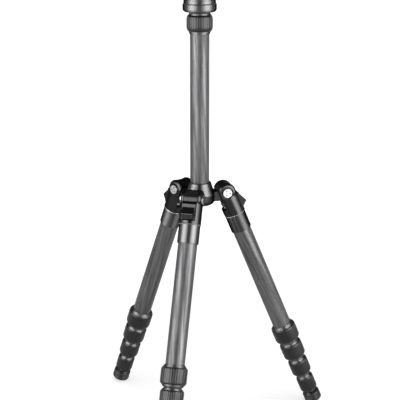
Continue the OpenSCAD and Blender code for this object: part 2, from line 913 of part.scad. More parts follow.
leg_lock(right_az, 1);  // right_lock1
leg_lock(right_az, 2);  // right_lock2
leg_lock(right_az, 3);  // right_lock3
leg_lock(right_az, 4);  // right_lock4
foot(right_az);  // right_foot
crown(left_az);  // left_crown
collar(left_az);  // left_collar
latch(left_az);  // left_latch
clamp_screws(left_az);  // left_screw
leg_tube(left_az, 1);  // left_tube1
leg_tube(left_az, 2);  // left_tube2
leg_tube(left_az, 3);  // left_tube3
leg_tube(left_az, 4);  // left_tube4
leg_tube(left_az, sections);  // left_tube5
leg_lock(left_az, 1);  // left_lock1
leg_lock(left_az, 2);  // left_lock2
leg_lock(left_az, 3);  // left_lock3
leg_lock(left_az, 4);  // left_lock4
foot(left_az);  // left_foot
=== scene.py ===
# %% [markdown]
# # A small travel tripod with a ball head
#
# The tripod stands on three five-section legs that turn up round the column when
# it is packed. Its hard parts come from the CAD model and stay where they are.
# This file dresses them: it sets up the camera and a soft studio, works out the
# parts that need a finer surface as numpy arrays, and gives every part a finish
# made of shader nodes.

import json
import math

import bpy
import numpy as np
from mathutils import Matrix, Vector


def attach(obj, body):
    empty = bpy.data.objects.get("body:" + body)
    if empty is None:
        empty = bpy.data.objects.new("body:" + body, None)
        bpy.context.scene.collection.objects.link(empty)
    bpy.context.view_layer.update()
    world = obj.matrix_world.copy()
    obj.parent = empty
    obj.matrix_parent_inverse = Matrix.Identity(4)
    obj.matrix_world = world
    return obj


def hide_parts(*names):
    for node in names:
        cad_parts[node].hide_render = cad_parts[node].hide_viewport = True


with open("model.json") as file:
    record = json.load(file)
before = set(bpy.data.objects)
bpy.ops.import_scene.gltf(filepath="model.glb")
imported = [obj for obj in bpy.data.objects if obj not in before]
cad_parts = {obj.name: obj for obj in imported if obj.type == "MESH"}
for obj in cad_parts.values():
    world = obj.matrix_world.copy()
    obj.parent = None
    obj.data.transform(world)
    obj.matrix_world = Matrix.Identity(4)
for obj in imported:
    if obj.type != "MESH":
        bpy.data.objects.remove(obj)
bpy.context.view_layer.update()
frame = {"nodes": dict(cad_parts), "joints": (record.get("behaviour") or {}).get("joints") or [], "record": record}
NODES = frame["nodes"]
JOINTS = {joint["name"]: joint for joint in frame["joints"]}
LEGS = ("front", "right", "left")
MM = 0.001
UP = np.array([0, 0, 1.0])
scene = bpy.context.scene

# %% [markdown]
# ## Camera
#
# The photograph was taken from a little more than a metre away with a longish
# lens, looking down by 15.5 degrees. The distances are measured from the plane of
# the three leg pivots, because a tripod's pivots are the easiest points to find in
# a picture. The lens is given in pixels of the photograph and turned into
# millimetres for Blender's 36 mm sensor.

# %% Camera
PIVOT_Z = JOINTS["front_leg_swing"]["pos_m"][2]
CAMERA_BACK = 1.2985
CAMERA_UP = 0.3508
CAMERA_AZIMUTH = math.radians(15.44)
CAMERA_DOWN = math.radians(15.5)
YAW_TRIM = math.radians(0.017)
PHOTO_WIDTH = 400
LENS_PIXELS = 1154.4
SENSOR_MM = 36
SEE_FAR = 60

lens = bpy.data.cameras.new("photo camera")
lens.sensor_width = SENSOR_MM
lens.lens = LENS_PIXELS * SENSOR_MM / PHOTO_WIDTH
lens.clip_end = SEE_FAR
camera = bpy.data.objects.new("photo camera", lens)
camera.location = (
    CAMERA_BACK * math.sin(CAMERA_AZIMUTH),
    -CAMERA_BACK * math.cos(CAMERA_AZIMUTH),
    PIVOT_Z + CAMERA_UP,
)
camera.rotation_euler = (math.pi / 2 - CAMERA_DOWN, 0, CAMERA_AZIMUTH - YAW_TRIM)
scene.collection.objects.link(camera)
scene.camera = camera
scene.view_settings.view_transform = "Standard"
print("lens", round(lens.lens, 2), "mm, camera at", [round(c, 4) for c in camera.location])


# %% [markdown]
# ## Shader helpers
#
# Every finish is a small network of nodes, so a few helpers keep it readable: one
# starts a material, one adds a node with its values, and one adds a sum. A
# dictionary key is the name or the number of a socket; a tuple (node, output)
# draws a wire, and anything else is set as a value.

# %% Shader helpers
def new_finish(name):
    """A new material with nodes; returns it, its tree and its Principled shader."""
    made = bpy.data.materials.new(name)
    made.use_nodes = True
    return made, made.node_tree, made.node_tree.nodes["Principled BSDF"]


def wire(tree, node, inputs):
    """Fills a node's sockets: (node, output) pairs are wired, other things are values."""
    for key, value in inputs.items():
        if isinstance(value, tuple) and isinstance(value[0], bpy.types.Node):
            tree.links.new(value[0].outputs[value[1]], node.inputs[key])
        else:
            node.inputs[key].default_value = value


def add(tree, kind, inputs=None, **settings):
    """Adds one shader node of a kind, with its settings and its sockets."""
    node = tree.nodes.new("ShaderNode" + kind)
    for key, value in settings.items():
        setattr(node, key, value)
    wire(tree, node, inputs or {})
    return node


def calc(tree, operation, *values):
    """One sum on numbers: calc(tree, "ADD", a, b); returns the wire to use next."""
    return add(tree, "Math", dict(enumerate(values)), operation=operation), 0


def ramp(tree, value, low, high, at_low, at_high, **settings):
    """A number that goes from at_low to at_high as value goes from low to high."""
    sockets = {0: value, 1: low, 2: high, 3: at_low, 4: at_high}
    return add(tree, "MapRange", sockets, **settings), 0


def shade(tree, value, dark, pale, low, high):
    """A colour that goes from dark to pale as value goes from low to high."""
    mix = add(tree, "Mix", {0: ramp(tree, value, low, high, 0.0, 1.0)}, data_type="RGBA")
    mix.inputs[6].default_value = (*dark, 1)
    mix.inputs[7].default_value = (*pale, 1)
    return mix, 2


def grey(level):
    """One level for red, green and blue."""
    return (level,) * 3


def soft_edges(tree, radius):
    """Bevel node: bends the normal near an edge, as a real moulded edge is rounded."""
    return add(tree, "Bevel", {"Radius": radius}, samples=4), 0


def noise(tree, vector, scale, detail, **sockets):
    """A noise texture on a vector; returns its grey value as a wire."""
    return add(tree, "TexNoise", {"Vector": vector, "Scale": scale, "Detail": detail, **sockets}), 0


# %% [markdown]
# ## Floor
#
# Product pictures stand on white paper. Paper that is lit until it is white would
# throw that light back on the object, so the white is shown to the camera and to
# mirrors by an emission that looks at the kind of ray. A diffuse share stays, and
# it is what keeps the soft shadow round the feet. Near the tripod less white is
# shown, so the shadow can be seen, and further out the paper fades to pure white.

# %% White floor
FLOOR_RADIUS = 9.0
SHADOW_NEAR, SHADOW_FAR, SHADOW_WHITE = 0.35, 1.1, 0.66
MIRROR_NEAR, MIRROR_FAR, MIRROR_WHITE = 1.2, 3.2, 0.3
FLOOR_BOUNCE = 0.7


def floor_disc(radius, rings=24, turns=96):
    """Points at (r cos a, r sin a, 0) on rings r that widen towards the rim."""
    r = radius * np.linspace(0, 1, rings + 1)[1:] ** 2
    a = np.linspace(0, 2 * np.pi, turns, endpoint=False)
    ring = np.stack([np.outer(r, np.cos(a)), np.outer(r, np.sin(a)), np.zeros((rings, turns))], -1)
    points = np.concatenate([np.zeros((1, 3)), ring.reshape(-1, 3)])
    k = 1 + np.arange(rings * turns).reshape(rings, turns)
    after = np.roll(k, -1, axis=1)
    quads = np.stack([k[:-1], k[1:], after[1:], after[:-1]], -1).reshape(-1, 4)
    centre = np.stack([np.zeros(turns, int), k[0], after[0]], -1)
    return points, centre.tolist() + quads.tolist()


floor_mesh = bpy.data.meshes.new("studio_floor")
floor_points, floor_faces = floor_disc(FLOOR_RADIUS)
floor_mesh.from_pydata(floor_points.tolist(), [], floor_faces)
floor = bpy.data.objects.new("studio_floor", floor_mesh)
scene.collection.objects.link(floor)

paper, tree, shader = new_finish("white studio floor")
wire(tree, shader, {"Base Color": (0.5, 0.5, 0.5, 1), "Roughness": 0.9, "Specular IOR Level": 0.0})
reach = add(tree, "VectorMath", {0: (add(tree, "TexCoord"), 3)}, operation="LENGTH")
near = ramp(tree, (reach, 1), SHADOW_NEAR, SHADOW_FAR, SHADOW_WHITE, 1.0,
            interpolation_type="SMOOTHSTEP")
far = ramp(tree, (reach, 1), MIRROR_NEAR, MIRROR_FAR, MIRROR_WHITE, 1.0,
           interpolation_type="SMOOTHSTEP")
path = add(tree, "LightPath")
direct = calc(tree, "MAXIMUM", (path, "Is Camera Ray"), (path, "Is Transmission Ray"))
shown = calc(tree, "MULTIPLY", near, direct)
shown = calc(tree, "MULTIPLY_ADD", far, (path, "Is Glossy Ray"), shown)
shown = calc(tree, "MULTIPLY_ADD", (path, "Is Diffuse Ray"), FLOOR_BOUNCE, shown)
wire(tree, shader, {"Emission Color": (1, 1, 1, 1), "Emission Strength": shown})
floor_mesh.materials.append(paper)
print("floor:", len(floor_points), "points,", len(floor_faces), "faces")

# %% [markdown]
# ## Surroundings
#
# A tube mirrors the whole room in a few narrow bands. If all of the room were
# white, a black tube would be grey everywhere, so the wall is white low down,
# where the floor ends, and dark above. Matt surfaces get one even, weak light.

# %% Surroundings: white low down, dark above
WALL_WHITE_TO, WALL_DARK_FROM, WALL_DARK = 0.12, 0.4, 0.08
ROOM_LIGHT = 0.3

world = bpy.data.worlds.new("studio")
scene.world = world
world.use_nodes = True
tree = world.node_tree
height = add(tree, "SeparateXYZ", {0: (add(tree, "TexCoord"), 0)})
wall = ramp(tree, (height, 2), WALL_WHITE_TO, WALL_DARK_FROM, 1.0, WALL_DARK,
            interpolation_type="SMOOTHSTEP")
path = add(tree, "LightPath")
mirrored = calc(tree, "MAXIMUM", (path, "Is Camera Ray"), (path, "Is Glossy Ray"))
seen = calc(tree, "MAXIMUM", mirrored, (path, "Is Transmission Ray"))
level = add(tree, "Mix", {0: seen, 2: ROOM_LIGHT, 3: wall}, data_type="FLOAT")
wire(tree, tree.nodes["Background"], {"Color": (1, 1, 1, 1), "Strength": (level, 0)})
print("wall fades from white to", WALL_DARK, "and lights matt parts with", ROOM_LIGHT)

# %% [markdown]
# ## Soft boxes
#
# Black gear shows little but what it mirrors, so it is lit by two tall soft boxes,
# one on each side of the camera: each becomes a long pale band on every tube. A
# real box is brighter in its middle. Two lamps a little apart add up, so a wide
# one and a narrow one in front of it make such a box. The matt parts get their
# light from one broad box overhead, which mirrors don't see.

# %% Soft boxes
BOX_AWAY = 1.2
BOX_HEIGHT = 1.08
BOX_OVER_FLOOR = 0.01
BOX_LAYERS = ((1.6, 4.7), (0.75, 4.7))
BOX_AZIMUTH = 53
LAYER_STEP = 0.02
TOP_SIZE = (1.7, 1.7)
TOP_PLACE = (0.25, -0.6, 1.75)
TOP_TURN = (math.radians(-14), math.radians(8), 0)
TOP_RADIANCE = 3.2


def soft_box(name, size, radiance, location, turn, mirrored):
    """A rectangular soft box; its power is radiance times pi times its area. One that is
    mirrored shows in glossy surfaces alone, and one that isn't lights the matt ones alone."""
    lamp = bpy.data.lights.new(name, "AREA")
    lamp.shape = "RECTANGLE"
    lamp.size, lamp.size_y = size
    lamp.energy = radiance * math.pi * size[0] * size[1]
    box = bpy.data.objects.new(name, lamp)
    box.location = location
    box.rotation_euler = turn
    box.visible_glossy = mirrored
    box.visible_diffuse = not mirrored
    scene.collection.objects.link(box)
    return box


soft_box("soft box above", TOP_SIZE, TOP_RADIANCE, TOP_PLACE, TOP_TURN, False)
for side, name in ((1, "strip box right"), (-1, "strip box left")):
    angle = CAMERA_AZIMUTH + math.radians(side * BOX_AZIMUTH)
    for layer, (width, radiance) in enumerate(BOX_LAYERS):
        away = BOX_AWAY - layer * LAYER_STEP
        spot = (away * math.sin(angle), -away * math.cos(angle), BOX_HEIGHT / 2 + BOX_OVER_FLOOR)
        turn = (math.pi / 2, 0, angle)
        soft_box(f"{name} {layer}", (width, BOX_HEIGHT), radiance, spot, turn, True)
print("strip boxes:", BOX_LAYERS, "at", BOX_AZIMUTH, "degrees from the camera")


# %% [markdown]
# ## Where each leg lies
#
# A leg's parts all share one axis. The twist joint of its first lock gives a point
# on that axis and its direction, so a new piece is worked out in the leg's own
# frame (around, along) and carried to its place by four vectors. Nothing has to be
# fitted by hand.

# %% Places along an axis
def from_axis(points, point, along):
    """How far points lie along an axis, and how far away from it: s = away . along, and r is
    the length of what is left of away when s along is taken off."""
    away = points - point
    s = away @ along
    return s, np.linalg.norm(away - np.outer(s, along), axis=1)


class Place:
    """A point, the direction along an axis, and two directions across it."""

    def __init__(self, point, along, across):
        self.point = np.array(point, float)
        self.along = np.array(along, float) / np.linalg.norm(along)
        across = np.array(across, float)
        across -= self.along * (across @ self.along)
        self.across = across / np.linalg.norm(across)
        self.side = np.cross(self.along, self.across)

    def span(self, node):
        """The lowest and highest place of a CAD node along the axis, and its widest radius."""
        mesh = NODES[node].data
        flat = np.empty(3 * len(mesh.vertices), np.float32)
        mesh.vertices.foreach_get("co", flat)
        s, r = from_axis(flat.reshape(-1, 3), self.point, self.along)
        return s.min(), s.max(), r.max()

    def put(self, s, r, angle):
        """Points at s along the axis and r from it, turned by angle from across."""
        out = (r * np.cos(angle))[..., None] * self.across
        out = out + (r * np.sin(angle))[..., None] * self.side
        return self.point + s[..., None] * self.along + out


def leg_place(leg):
    """The leg's own frame: down its axis, and across it towards the column."""
    joint = JOINTS[leg + "_lock1_twist"]
    point = np.array(joint["pos_m"])
    return Place(point, joint["axis"], (-point[0], -point[1], 0))


towards_camera = (math.sin(CAMERA_AZIMUTH), -math.cos(CAMERA_AZIMUTH), 0)
COLUMN_PLACE = Place((0, 0, PIVOT_Z), UP, towards_camera)
LEG_PLACE = {leg: leg_place(leg) for leg in LEGS}
AXES = {**LEG_PLACE, "column": COLUMN_PLACE}
for leg in LEGS:
    print(leg, "lock 1 runs", [round(v / MM, 1) for v in LEG_PLACE[leg].span(leg + "_lock1")])


# %% [markdown]
# ## Surfaces of revolution with ribs
#
# Locks, feet and the camera screw are turned parts: a profile of (along, radius)
# points is carried round the axis. The whole surface is one grid of profile points
# by turns, so it is one numpy expression. Blender's Spin tool could carry the
# profile round too, but ribs and threads are a change of the radius with the
# angle, and that is only possible where each point is worked out. A profile that
# starts and ends on the axis closes in two poles, and any other one is joined back
# to its start, which makes a wall.

# %% Turned surface
def beside(ids):
    """The same points of the grid, one step further round."""
    return np.roll(ids, -1, axis=-1)


def band(upper, lower):
    """Quads between neighbouring rows, wound so that they face outwards."""
    return np.stack([upper, beside(upper), beside(lower), lower], -1).reshape(-1, 4)


def turned(name, place, s, r, finishes, row_finish=None, ripple=None, turns=96):
    """Carries the profile (s, r) round the axis: point = place + s along + r (cos a across +
    sin a side). ripple(s, a) is taken off the radius, and row_finish picks a finish by row."""
    a = np.linspace(0, 2 * np.pi, turns, endpoint=False)
    grid_s, grid_a = np.meshgrid(s, a, indexing="ij")
    grid_r = np.repeat(r[:, None], turns, axis=1)
    if ripple is not None:
        grid_r = grid_r - ripple(grid_s, grid_a) * (grid_r > 0)
    k = np.arange(grid_s.size).reshape(grid_s.shape)
    kept = np.ones(k.shape, bool)
    if r[0] == 0:
        kept[[0, -1], 1:] = False
        first, last = np.full(turns, k[0, 0]), np.full(turns, k[-1, 0])
        parts = [band(k[1:-2], k[2:-1]), np.stack([first, beside(k[1]), k[1]], -1),
                 np.stack([k[-2], beside(k[-2]), last], -1)]
    else:
        parts = [band(k, np.roll(k, -1, axis=0))]
    number = np.cumsum(kept) - 1
    faces = [face for part in parts for face in number[part].tolist()]
    mesh = bpy.data.meshes.new(name)
    mesh.from_pydata(place.put(grid_s, grid_r, grid_a)[kept].tolist(), [], faces)
    for finish in finishes:
        mesh.materials.append(finish)
    if row_finish is not None:
        mesh.polygons.foreach_set("material_index", np.repeat(row_finish, turns).astype(np.int32))
    mesh.polygons.foreach_set("use_smooth", np.ones(len(mesh.polygons), bool))
    mesh.update()
    piece = bpy.data.objects.new(name, mesh)
    scene.collection.objects.link(piece)
    return piece


def arc(s0, r0, s1, r1, steps):
    """A quarter of an ellipse that rises steeply at (s0, r0) and is flat at (s1, r1):
    s = s0 + (s1 - s0) (1 - cos t), r = r0 + (r1 - r0) sin t."""
    t = np.linspace(0, np.pi / 2, steps)
    return s0 + (s1 - s0) * (1 - np.cos(t)), r0 + (r1 - r0) * np.sin(t)


# %% [markdown]
# ## Anodised black gloss
#
# The collars, the head and its base are turned from aluminium and dyed black. The
# fine lines that the lathe leaves run round the axis, and they draw each lamp out
# into a bright sector along the part. A plain gloss would give a thin bright line
# instead, so the shader is anisotropic, and its tangent is worked out from the
# axis: the axis crossed with the way out from it.

# %% Anodised black gloss
TURNING_LINES = 5200.0
TURNED_EDGE = 0.25 * MM


def gloss_black(name, place, level, roughness):
    """Dyed aluminium that was turned on a lathe. The lines themselves are a noise on the place
    along the axis alone, so that each line goes all the way round."""
    made, tree, shader = new_finish(name)
    here = (add(tree, "TexCoord"), 3)
    away = add(tree, "VectorMath", {0: here, 1: Vector(place.point)}, operation="SUBTRACT")
    axis_and_away = {0: Vector(place.along), 1: (away, 0)}
    round_axis = add(tree, "VectorMath", axis_and_away, operation="CROSS_PRODUCT")
    tangent = add(tree, "VectorMath", {0: (round_axis, 0)}, operation="NORMALIZE")
    along = add(tree, "VectorMath", axis_and_away, operation="DOT_PRODUCT")
    line_sockets = {"W": (along, 1), "Scale": TURNING_LINES, "Detail": 2.0}
    lines = add(tree, "TexNoise", line_sockets, noise_dimensions="1D")
    smear = noise(tree, here, 60.0, 2.0)
    rough = ramp(tree, smear, 0.3, 0.7, roughness * 0.9, roughness * 1.15)
    bump = add(tree, "Bump", {"Height": (lines, 0), "Strength": 0.05, "Distance": 0.05 * MM,
                              "Normal": soft_edges(tree, TURNED_EDGE)})
    wire(tree, shader, {
        "Base Color": shade(tree, smear, grey(level * 0.92), grey(level * 1.08), 0.3, 0.7),
        "Metallic": 1.0, "Roughness": rough, "Specular Tint": (0.1, 0.1, 0.1, 1),
        "Anisotropic": 0.9, "Anisotropic Rotation": 0.25, "Tangent": (tangent, 0),
        "Normal": (bump, 0)})
    return made


# Painted light and shade: the collars' level differs per leg for how the lamps fall, darker on the right leg and
# paler on the front one.
GLOSS_LEVEL_LIT_AND_SHADED = {"front": 0.11, "right": 0.055, "left": 0.09, "column": 0.1}
GLOSS_ROUGHNESS = 0.36
RING_LEVEL, RING_ROUGHNESS = 0.14, 0.5
ANODISED = {axis: gloss_black(axis + " anodised gloss with painted light and shade", AXES[axis], level, GLOSS_ROUGHNESS)
            for axis, level in GLOSS_LEVEL_LIT_AND_SHADED.items()}
RINGS = {axis: gloss_black(axis + " lock ring", place, RING_LEVEL, RING_ROUGHNESS)
         for axis, place in AXES.items()}
print("anodised finishes:", len(ANODISED) + len(RINGS))


# %% [markdown]
# ## Satin painted casting
#
# The hub, the leg heads and the latches are cast and painted. Up close such paint
# has tiny dimples; from further away it is a dark satin whose sharpness changes a
# little from place to place. The dimples are a fine noise in the bump and the slow
# change is a broad noise in the roughness. The flat milled parts of the clamp take
# the same finish, because turning lines would be wrong on them.

# %% Satin painted casting
def painted_casting(name):
    """A dark satin coat over tiny dimples."""
    made, tree, shader = new_finish(name)
    here = (add(tree, "TexCoord"), 3)
    grain = noise(tree, here, 1400.0, 4.0)
    patch = noise(tree, here, 45.0, 3.0)
    bump = add(tree, "Bump", {"Height": grain, "Strength": 0.08, "Distance": 0.1 * MM,
                              "Normal": soft_edges(tree, 0.4 * MM)})
    dark, pale = (0.03, 0.03, 0.031), (0.038, 0.038, 0.039)
    wire(tree, shader, {
        "Base Color": shade(tree, patch, dark, pale, 0.3, 0.7), "Metallic": 0.9,
        "Roughness": ramp(tree, patch, 0.3, 0.7, 0.15, 0.22),
        "Specular Tint": (0.15, 0.15, 0.15, 1), "Normal": (bump, 0)})
    return made


CASTING = painted_casting("satin black casting")
MILLED = painted_casting("milled anodised clamp")
print("castings:", CASTING.name, "and", MILLED.name)


# %% [markdown]
# ## Rubber
#
# The grips and feet are moulded rubber. Rubber isn't quite matt: it has a weak,
# broad sheen, and it is paler where hands and dust have been. Both come from the
# same broad noise, so that the worn places are also the smoother ones.

# %% Rubber
def rubber(name, pale, dark):
    """Nearly matt black between the two levels, with a fine dusty grain."""
    made, tree, shader = new_finish(name)
    here = (add(tree, "TexCoord"), 3)
    dust = noise(tree, here, 1800.0, 3.0)
    worn = noise(tree, here, 90.0, 4.0)
    bump = add(tree, "Bump", {"Height": dust, "Strength": 0.05, "Distance": 0.1 * MM})
    wire(tree, shader, {
        "Base Color": shade(tree, worn, grey(dark), grey(pale), 0.35, 0.7),
        "Roughness": ramp(tree, worn, 0.3, 0.7, 0.26, 0.34),
        "Specular IOR Level": 0.3, "Normal": (bump, 0)})
    return made


GRIP = rubber("ribbed grip rubber", 0.016, 0.011)
FOOT = rubber("foot rubber", 0.026, 0.018)
print("rubbers:", GRIP.name, "and", FOOT.name)

# %% [markdown]
# ## Carbon tube
#
# The tubes are carbon fibre rolled round a mandrel under clear resin. Their fibres
# run almost along the tube, which the photograph shows as long streaks that drift
# slowly round it. A picture of a weave wrapped round the tube would stretch and
# show its seam. Here the pattern is worked out at each point from the tube's own
# axis, so it has no seam and follows the tube wherever the leg is turned.

# %% Carbon tube
TUBE_RADII = [11 * MM, 9.5 * MM, 8 * MM, 6.5 * MM, 5 * MM]
FIBRE_LAY = 4.5
STREAK_STRETCH = 0.045
BROAD_STREAKS, FINE_STREAKS = 330, 2400


def carbon(name, place, radius):
    """A Mapping node carries each point into the tube's own frame. There the angle plus lay
    times height stays the same along a fibre, and a noise on (r cos, r sin, a little of the
    height) draws long streaks, broad ones for the tone and fine ones for the relief."""
    made, tree, shader = new_finish(name)
    axes = Matrix([place.across, place.side, place.along]).transposed()
    own = add(tree, "Mapping", {0: (add(tree, "TexCoord"), 3)}, vector_type="TEXTURE")
    own.inputs["Location"].default_value = Vector(place.point)
    own.inputs["Rotation"].default_value = axes.to_euler()
    part = add(tree, "SeparateXYZ", {0: (own, 0)})
    angle = calc(tree, "ARCTAN2", (part, 1), (part, 0))
    wound = calc(tree, "MULTIPLY_ADD", (part, 2), FIBRE_LAY, angle)
    stretch = add(tree, "CombineXYZ", {
        0: calc(tree, "MULTIPLY", calc(tree, "COSINE", wound), radius),
        1: calc(tree, "MULTIPLY", calc(tree, "SINE", wound), radius),
        2: calc(tree, "MULTIPLY", (part, 2), STREAK_STRETCH)})
    broad = noise(tree, (stretch, 0), BROAD_STREAKS, 2.0)
    fine = noise(tree, (stretch, 0), FINE_STREAKS, 2.0)
    tone = calc(tree, "MULTIPLY_ADD", fine, 0.35, broad)
    bump = add(tree, "Bump", {"Height": fine, "Strength": 0.12, "Distance": 0.05 * MM})
    dark, pale = (0.075, 0.075, 0.077), (0.175, 0.175, 0.178)
    wire(tree, shader, {
        "Base Color": shade(tree, tone, dark, pale, 0.52, 0.84), "Metallic": 0.27,
        "Roughness": ramp(tree, broad, 0.35, 0.65, 0.38, 0.28),
        "Specular Tint": (0.1, 0.1, 0.1, 1), "Specular IOR Level": 0.2, "Normal": (bump, 0)})
    return made


CARBON = {leg: carbon(leg + " leg carbon", LEG_PLACE[leg], TUBE_RADII[0]) for leg in LEGS}
CARBON["column"] = carbon("column carbon", COLUMN_PLACE, TUBE_RADII[0])
print("carbon finishes:", len(CARBON))


# %% [markdown]
# ## Steel and plastic
#
# The pivot bolts, the screws and the camera screw are bright steel, and they are
# the only pale points on a black object, so the eye goes to them first. The ball
# is the same metal with a dark hard coat. Knobs and plugs are moulded plastic with
# the fine grain of a spark-eroded mould. A second copy of that plastic is painted
# shade: a black for the pin holes, the lips between locks and the gap under the head.

# %% Steel and plastic
def bright_steel(name, roughness, dark, pale):
    """Turned metal: fine scratches change its roughness and tone a little."""
    made, tree, shader = new_finish(name)
    here = (add(tree, "TexCoord"), 3)
    scratch = noise(tree, here, 1500.0, 2.0, Distortion=0.4)
    wire(tree, shader, {
        "Base Color": shade(tree, scratch, grey(dark), grey(pale), 0.3, 0.7), "Metallic": 1.0,
        "Roughness": ramp(tree, scratch, 0.3, 0.7, roughness * 0.9, roughness * 1.12),
        "Normal": soft_edges(tree, 0.3 * MM)})
    return made


def plastic(name):
    """Moulded plastic with a spark-eroded grain."""
    made, tree, shader = new_finish(name)
    grain = noise(tree, (add(tree, "TexCoord"), 3), 2200.0, 2.0)
    bump = add(tree, "Bump", {"Height": grain, "Strength": 0.25, "Distance": 0.08 * MM,
                              "Normal": soft_edges(tree, 0.3 * MM)})
    dark, pale = (0.03, 0.03, 0.031), (0.045, 0.045, 0.046)
    wire(tree, shader, {"Base Color": shade(tree, grain, dark, pale, 0.35, 0.65),
                        "Roughness": 0.42, "Normal": (bump, 0)})
    return made


STEEL = bright_steel("bright steel", 0.28, 0.36, 0.41)
POLISHED = bright_steel("polished bead", 0.4, 0.24, 0.3)
BALL = bright_steel("hard anodised ball", 0.4, 0.05, 0.07)
PLASTIC = plastic("black moulded plastic")
# Painted shade: this black stands for the shade in the pin holes, at the lips of the locks and in the gap under
# the head.
PAINTED_SHADE_BLACK = plastic("painted shade black")
print("metals and plastics:", [m.name for m in (STEEL, POLISHED, BALL, PLASTIC, PAINTED_SHADE_BLACK)])

# %% [markdown]
# ## Twist locks
#
# Each joint between two tubes is a turning sleeve: a black ring with a cone at
# both ends and a ribbed rubber grip in the middle, drawn in towards its ends like
# a barrel. The profile is written once, from the lock's own length and radius, and
# the ribs are grooves whose depth fades out before the grip's rounded ends.
# Modelling the grooves in the surface, and not as bump, keeps them in the outline.

# %% The line of a lock
CONE = 3.0 * MM
CHAMFER = 0.15 * MM
LIP = 0.8 * MM
LIP_LENGTH = 1.1 * MM
SEAM = 0.1 * MM
SLEEVE_RISE = 0.35 * MM
BORE_CHAMFER = 0.3 * MM
BORE_STEP = 0.6
RING_ROW, GRIP_ROW, PAINTED_SHADE_ROW = 0, 1, 2
BORE_ROWS = 5


def lock_profile(start, end, radius, bore, far_bore, shoulder, draw, painted_shade_lips):
    """Outer line of the lock from its first cone over the grip to its last cone, and back
    through the bore. The grip is a barrel: its radius falls by draw in a quarter of an
    ellipse over each shoulder. Returns s, r and each row's finish."""
    rim, grip = radius - draw, start + CONE
    lift_s, lift_r = arc(grip, rim - SLEEVE_RISE + 0.05 * MM, grip + 0.3 * MM, rim + 0.08 * MM, 4)
    grip_s, grip_r = arc(grip + 0.4 * MM, rim + 0.15 * MM, grip + shoulder, radius, 8)
    half_s = np.concatenate([[start, start + CHAMFER, start + LIP_LENGTH, grip - SEAM],
                             lift_s, grip_s])
    half_r = np.concatenate([[bore + LIP - CHAMFER, bore + LIP, bore + LIP, rim - SLEEVE_RISE],
                             lift_r, grip_r])
    step = start + BORE_STEP * (end - start)
    inner_s = np.array([end, end - BORE_CHAMFER, step, step, start])
    inner_r = np.array([far_bore + BORE_CHAMFER, far_bore, far_bore, bore, bore])
    s = np.concatenate([half_s, start + end - half_s[::-1], inner_s])
    r = np.concatenate([half_r, half_r[::-1], inner_r])
    last = 2 * len(half_s)
    finish = ((s > grip - SEAM / 2) & (s < end - CONE + SEAM / 2)).astype(int) * GRIP_ROW
    finish[last - 1:] = RING_ROW
    # Painted shade: the lips at the ends, where the lock meets the next part, take the black of the shade in that
    # groove.
    if painted_shade_lips[0]:
        finish[:2] = PAINTED_SHADE_ROW
    if painted_shade_lips[1]:
        finish[last - 3:last] = PAINTED_SHADE_ROW
    return s, r, finish


# %% All the locks
GROOVES = 28
GROOVE_DEPTH = 0.25 * MM
GROOVE_SHARPNESS = 6
GROOVE_MARGIN, GROOVE_FADE = 0.5 * MM, 1.6 * MM
FIT = 0.05 * MM
LEG_SHOULDER, LEG_DRAW = 3.4 * MM, 1.1 * MM
COLUMN_SHOULDER, COLUMN_DRAW = 7 * MM, 1.9 * MM


def twist_lock(node, place, ring, bore, far_bore, shoulder, draw, painted_shade_lips):
    """Builds the lock over its CAD node and lets it ride on the lock's own body."""
    start, end, radius = place.span(node)
    s, r, finish = lock_profile(start, end, radius, bore, far_bore, shoulder, draw, painted_shade_lips)

    def grooves(along, angle):
        """Depth of the ribs' grooves: narrow cosine valleys that fade out near the ends."""
        edge = np.minimum(along - start, end - along) - CONE - GROOVE_MARGIN
        fade = np.clip(edge / GROOVE_FADE, 0, 1)
        fade[len(s) - BORE_ROWS:] = 0
        return GROOVE_DEPTH * fade * (0.5 + 0.5 * np.cos(GROOVES * angle)) ** GROOVE_SHARPNESS

    piece = turned(node + "_dress", place, s, r, [ring, GRIP, PAINTED_SHADE_BLACK], finish, grooves,
                   turns=GROOVES * 10)
    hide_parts(node)
    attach(piece, node)
    return piece


# Painted shade on the lips: the far end of every lock, and the near end of every lock after the first.
for leg in LEGS:
    for n in range(1, 5):
        twist_lock(f"{leg}_lock{n}", LEG_PLACE[leg], RINGS[leg], TUBE_RADII[n - 1] + FIT,
                   TUBE_RADII[n] + FIT, LEG_SHOULDER, LEG_DRAW, (n > 1, True))
twist_lock("column_lock", COLUMN_PLACE, RINGS["column"], TUBE_RADII[0] + FIT, TUBE_RADII[1],
           COLUMN_SHOULDER, COLUMN_DRAW, (False, True))
print("twist locks:", 4 * len(LEGS) + 1)

# %% [markdown]
# ## Feet
#
# A foot is a rubber cap over the end of the last tube, with three rings round it
# and a domed sole that meets the ground at any angle of the leg. It is turned like
# a lock, and its line is drawn once for all three legs. The valleys between the
# rings are the square roots of the positive halves of a sine, which makes them
# round at the bottom and sharp at their edges, as they come out of a mould.

# %% Feet
FOOT_NECK, FOOT_RADIUS, FOOT_LENGTH = 8.6 * MM, 10.5 * MM, 16 * MM
NECK_END, SHOULDER_END, BAND_START = 1.2 * MM, 2.8 * MM, 3 * MM
RINGS_START, RING_PITCH, FOOT_RINGS, RING_DEPTH = 4 * MM, 2.4 * MM, 3, 0.45 * MM
DOME_RADIUS = 16 * MM
FOOT_BORE, FOOT_BORE_DEPTH = TUBE_RADII[4] + FIT, 10 * MM

